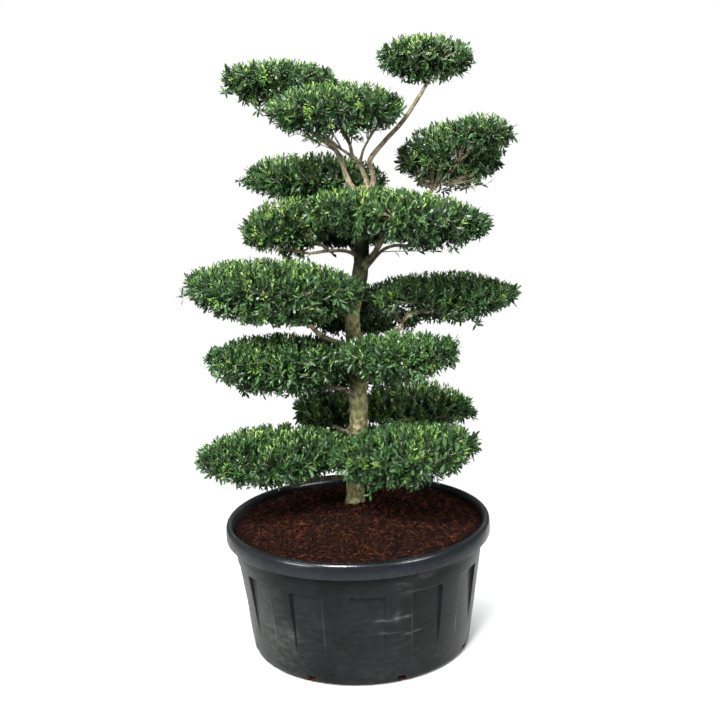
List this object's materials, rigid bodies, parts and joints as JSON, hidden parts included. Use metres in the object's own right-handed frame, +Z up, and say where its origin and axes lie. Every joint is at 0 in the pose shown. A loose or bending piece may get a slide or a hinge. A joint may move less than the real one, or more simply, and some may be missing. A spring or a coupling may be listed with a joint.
{
  "type": "cloud-pruned japanese holly in a tub",
  "caption": "Evergreen shrub trained as a cloud tree: flat clipped pads of small leaves on a bare forked trunk, rooted in soil in a round panelled nursery tub.",
  "frame": {"origin": "middle of the tub's flat underside", "axes": "+Z up, -Y towards the viewer of the picture, +X to that viewer's right"},
  "size_m": [1.244, 0.984, 2.1893],
  "materials": {
    "tub_plastic": "moulded black polyethylene with a soft sheen on the lip and dust on the wall",
    "soil": "loose red-brown coir and bark compost",
    "bark": "grey-beige bark with fine cracks and a green film",
    "foliage": "small glossy evergreen leaves, yellow-green at the shoot tips"
  },
  "bodies": {
    "root": {"tub": "tub_plastic", "soil": "soil", "trunk": "bark", "bough_top_left": "bark", "bough_top_right": "bark", "bough_top_middle": "bark", "bough_top_middle_right": "bark", "bough_top_middle_left": "bark", "bough_right_main": "bark", "bough_right_upper": "bark", "bough_second_back": "bark", "bough_third_left": "bark", "bough_third_front": "bark", "bough_third_right": "bark", "bough_third_back": "bark", "bough_fourth_left": "bark", "bough_fourth_right": "bark", "bough_fourth_back": "bark", "bough_fifth_left": "bark", "bough_fifth_front": "bark", "bough_fifth_back": "bark", "bough_sixth_left": "bark", "bough_sixth_right": "bark", "bough_seventh_left": "bark", "bough_seventh_front": "bark", "bough_seventh_back": "bark", "mass_top_right": "foliage", "mass_top_left": "foliage", "mass_top_middle": "foliage", "mass_right_upper": "foliage", "mass_right_main": "foliage", "mass_second_back": "foliage", "mass_third_left": "foliage", "mass_third_front": "foliage", "mass_third_back": "foliage", "mass_fourth_left": "foliage", "mass_fourth_right": "foliage", "mass_fourth_back": "foliage", "mass_fifth_left": "foliage", "mass_fifth_front": "foliage", "mass_fifth_back": "foliage", "mass_sixth_left": "foliage", "mass_sixth_right": "foliage", "mass_seventh_left": "foliage", "mass_seventh_front": "foliage", "mass_seventh_back": "foliage"}
  },
  "joints": []
}
